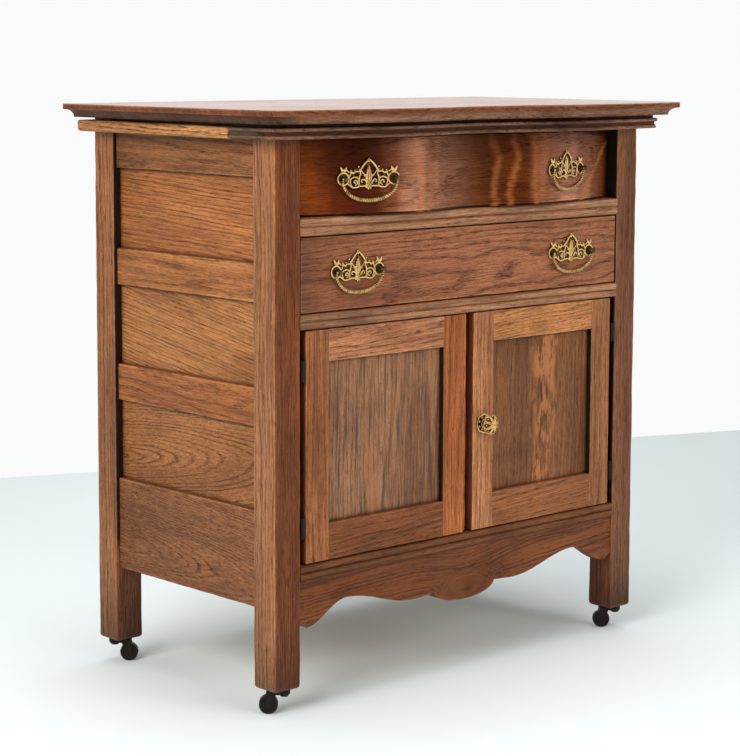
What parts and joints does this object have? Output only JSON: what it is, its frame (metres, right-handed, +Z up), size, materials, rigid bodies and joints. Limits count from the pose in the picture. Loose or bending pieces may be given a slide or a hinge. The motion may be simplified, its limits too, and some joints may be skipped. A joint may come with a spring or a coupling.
{
  "type": "serpentine dressing chest",
  "caption": "Oak dressing chest on casters: serpentine top and drawer, a flat drawer, a pair of panelled doors, pierced brass pulls and panelled sides.",
  "frame": {"origin": "middle of the floor area under the chest, at the floor that the casters stand on", "axes": "+X to the chest's right as seen from its front, +Y towards its back, +Z up"},
  "size_m": [0.793, 0.457, 0.7855],
  "materials": {
    "dark_oak": "varnished oak, dark",
    "pale_oak": "bare pale oak, worn",
    "front_oak": "varnished figured oak veneer, dark red-brown",
    "case_oak": "waxed aged oak",
    "panel_oak": "waxed aged oak",
    "inner_wood": "unfinished softwood",
    "brass": "aged cast brass",
    "iron": "dark worn iron",
    "caster_wheel": "dark worn turned wood"
  },
  "bodies": {
    "case": {"top_board": "dark_oak", "front_moulding": "dark_oak", "left_moulding": "pale_oak", "left_moulding_stub": "dark_oak", "right_moulding": "dark_oak", "post_front_left": "case_oak", "post_front_right": "case_oak", "post_rear_left": "case_oak", "post_rear_right": "case_oak", "left_side_rails": "case_oak", "right_side_rails": "case_oak", "left_side_panels": "panel_oak", "right_side_panels": "panel_oak", "top_front_rail": "inner_wood", "drawer_rail": "case_oak", "door_rail": "case_oak", "base_rail": "case_oak", "apron": "case_oak", "back_rails": "inner_wood", "back_boards": "inner_wood", "cabinet_floor": "inner_wood", "glue_blocks": "inner_wood", "drawer_runners": "inner_wood", "top_cleats": "inner_wood", "hinge_case_leaves": "iron", "caster_sockets": "iron"},
    "upper_drawer": {"upper_drawer_front": "front_oak", "upper_drawer_sides": "inner_wood", "upper_drawer_back": "inner_wood", "upper_drawer_bottom": "inner_wood", "upper_pull_plates": "brass", "upper_pull_posts": "brass"},
    "lower_drawer": {"lower_drawer_front": "front_oak", "lower_drawer_sides": "inner_wood", "lower_drawer_back": "inner_wood", "lower_drawer_bottom": "inner_wood", "lower_pull_plates": "brass", "lower_pull_posts": "brass"},
    "upper_left_bail": {"upper_left_bail": "brass"},
    "upper_right_bail": {"upper_right_bail": "brass"},
    "lower_left_bail": {"lower_left_bail": "brass"},
    "lower_right_bail": {"lower_right_bail": "brass"},
    "left_door": {"left_door_frame": "case_oak", "left_door_panel": "panel_oak", "left_door_lip": "case_oak", "left_door_hinges": "iron"},
    "right_door": {"right_door_frame": "case_oak", "right_door_panel": "panel_oak", "right_door_hinges": "iron", "knob_plate": "brass"},
    "knob": {"knob": "brass", "catch": "iron"},
    "front_left_horn": {"caster_horn_front_left": "iron"},
    "front_left_wheel": {"caster_wheel_front_left": "caster_wheel"},
    "front_right_horn": {"caster_horn_front_right": "iron"},
    "front_right_wheel": {"caster_wheel_front_right": "caster_wheel"},
    "rear_left_horn": {"caster_horn_rear_left": "iron"},
    "rear_left_wheel": {"caster_wheel_rear_left": "caster_wheel"},
    "rear_right_horn": {"caster_horn_rear_right": "iron"},
    "rear_right_wheel": {"caster_wheel_rear_right": "caster_wheel"}
  },
  "joints": [
    {"name": "upper_drawer_slide", "type": "slide", "parent": "case", "child": "upper_drawer", "axis": [0, -1, 0], "range_m": [0, 0.25]},
    {"name": "lower_drawer_slide", "type": "slide", "parent": "case", "child": "lower_drawer", "axis": [0, -1, 0], "range_m": [0, 0.25]},
    {"name": "upper_left_bail_swing", "type": "hinge", "parent": "upper_drawer", "child": "upper_left_bail", "pos_m": [-0.19902, -0.17854, 0.6937], "axis": [-0.9746, 0.2241, 0], "range_deg": [0, 100]},
    {"name": "lower_left_bail_swing", "type": "hinge", "parent": "lower_drawer", "child": "lower_left_bail", "pos_m": [-0.206, -0.1675, 0.5737], "axis": [-1, 0, 0], "range_deg": [0, 100]},
    {"name": "upper_right_bail_swing", "type": "hinge", "parent": "upper_drawer", "child": "upper_right_bail", "pos_m": [0.17777, -0.18313, 0.6937], "axis": [-0.9805, -0.1964, 0], "range_deg": [0, 100]},
    {"name": "lower_right_bail_swing", "type": "hinge", "parent": "lower_drawer", "child": "lower_right_bail", "pos_m": [0.206, -0.1675, 0.5737], "axis": [-1, 0, 0], "range_deg": [0, 100]},
    {"name": "left_door_hinge", "type": "hinge", "parent": "case", "child": "left_door", "pos_m": [-0.2995, -0.159, 0.3485], "axis": [0, 0, -1], "range_deg": [0, 110]},
    {"name": "right_door_hinge", "type": "hinge", "parent": "case", "child": "right_door", "pos_m": [0.2995, -0.159, 0.3485], "axis": [0, 0, 1], "range_deg": [0, 110]},
    {"name": "knob_turn", "type": "hinge", "parent": "right_door", "child": "knob", "pos_m": [0.031, -0.159, 0.345], "axis": [0, 1, 0], "range_deg": [0, 90]},
    {"name": "front_left_swivel", "type": "hinge", "parent": "case", "child": "front_left_horn", "pos_m": [-0.32575, -0.13825, 0.026], "axis": [0, 0, 1], "continuous": true},
    {"name": "front_left_roll", "type": "hinge", "parent": "front_left_horn", "child": "front_left_wheel", "pos_m": [-0.3343, -0.13056, 0.0125], "axis": [-0.6691, -0.7431, 0], "continuous": true},
    {"name": "front_right_swivel", "type": "hinge", "parent": "case", "child": "front_right_horn", "pos_m": [0.32575, -0.13825, 0.026], "axis": [0, 0, 1], "continuous": true},
    {"name": "front_right_roll", "type": "hinge", "parent": "front_right_horn", "child": "front_right_wheel", "pos_m": [0.3172, -0.13056, 0.0125], "axis": [-0.6691, -0.7431, 0], "continuous": true},
    {"name": "rear_left_swivel", "type": "hinge", "parent": "case", "child": "rear_left_horn", "pos_m": [-0.32575, 0.20325, 0.026], "axis": [0, 0, 1], "continuous": true},
    {"name": "rear_left_roll", "type": "hinge", "parent": "rear_left_horn", "child": "rear_left_wheel", "pos_m": [-0.3172, 0.19556, 0.0125], "axis": [0.6691, 0.7431, 0], "continuous": true},
    {"name": "rear_right_swivel", "type": "hinge", "parent": "case", "child": "rear_right_horn", "pos_m": [0.32575, 0.20325, 0.026], "axis": [0, 0, 1], "continuous": true},
    {"name": "rear_right_roll", "type": "hinge", "parent": "rear_right_horn", "child": "rear_right_wheel", "pos_m": [0.33571, 0.209, 0.0125], "axis": [-0.5, 0.866, 0], "continuous": true}
  ]
}
